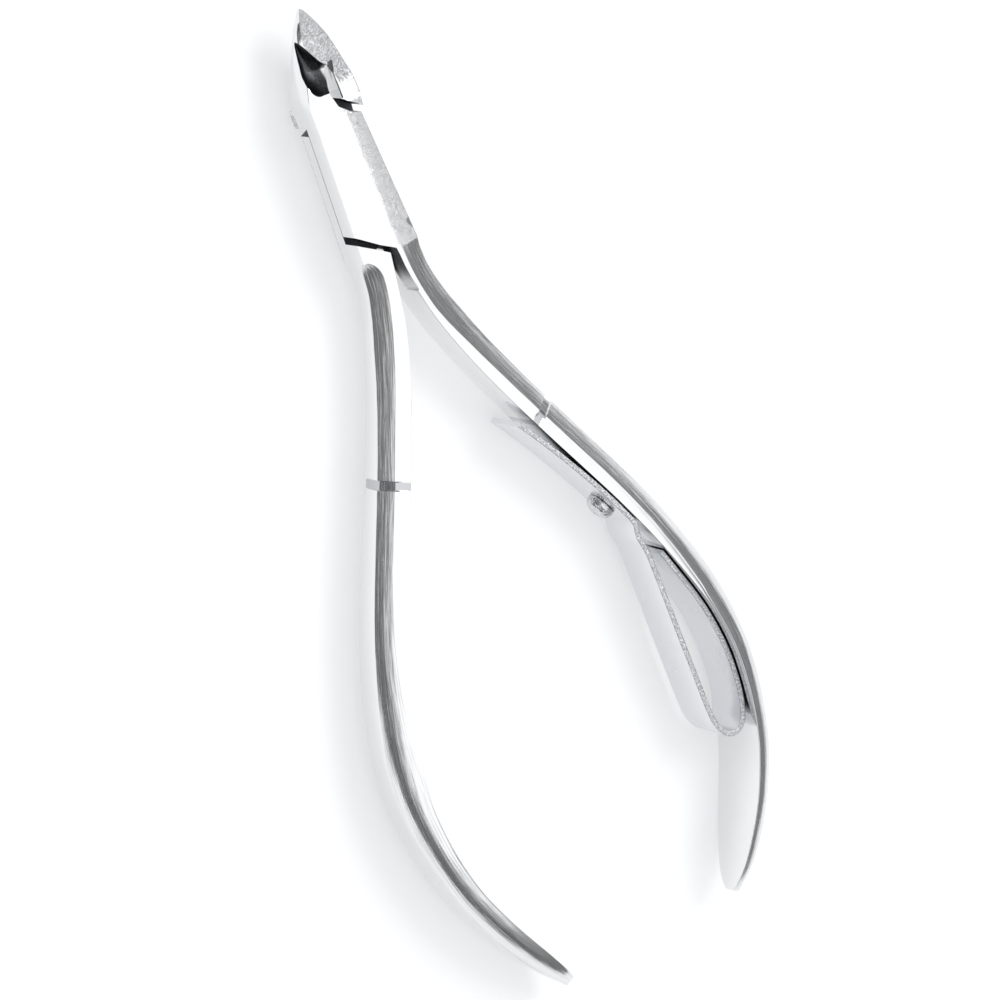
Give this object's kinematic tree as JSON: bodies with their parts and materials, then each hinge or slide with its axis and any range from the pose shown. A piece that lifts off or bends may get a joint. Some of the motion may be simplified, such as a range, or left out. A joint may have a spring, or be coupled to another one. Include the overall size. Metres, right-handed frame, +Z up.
{
  "type": "cuticle nipper",
  "caption": "Lap-jointed cuticle nipper with short shut jaws, bowed handles and a loop-shaped leaf spring riveted inside the right handle.",
  "frame": {"origin": "middle of the bounding box, at its underside, where the handles' widest edges touch the surface", "axes": "+Y along the tool towards the jaws, +X across it towards the handle that carries the spring, +Z up along the pivot"},
  "size_m": [0.042, 0.1042, 0.0094],
  "materials": {
    "lever_steel": "mirror-polished stainless steel, ground satin at the jaws and joint faces",
    "rivet_steel": "polished stainless steel",
    "spring_steel": "polished spring steel strip with sheared edges"
  },
  "bodies": {
    "front_lever_body": {"lever_front": "lever_steel", "spring_rivet": "rivet_steel"},
    "rear_lever_body": {"lever_rear": "lever_steel", "pivot_rivet": "rivet_steel"},
    "spring_body": {"loop_spring": "spring_steel"}
  },
  "joints": [
    {"name": "jaw_hinge", "type": "hinge", "parent": "front_lever_body", "child": "rear_lever_body", "pos_m": [0, 0.03336, 0.00469], "axis": [0, 0, -1], "range_deg": [0, 10]},
    {"name": "spring_turn", "type": "hinge", "parent": "front_lever_body", "child": "spring_body", "pos_m": [0.01286, -0.00767, 0.00469], "axis": [-0.9155, -0.4022, 0], "range_deg": [-8, 8]}
  ]
}
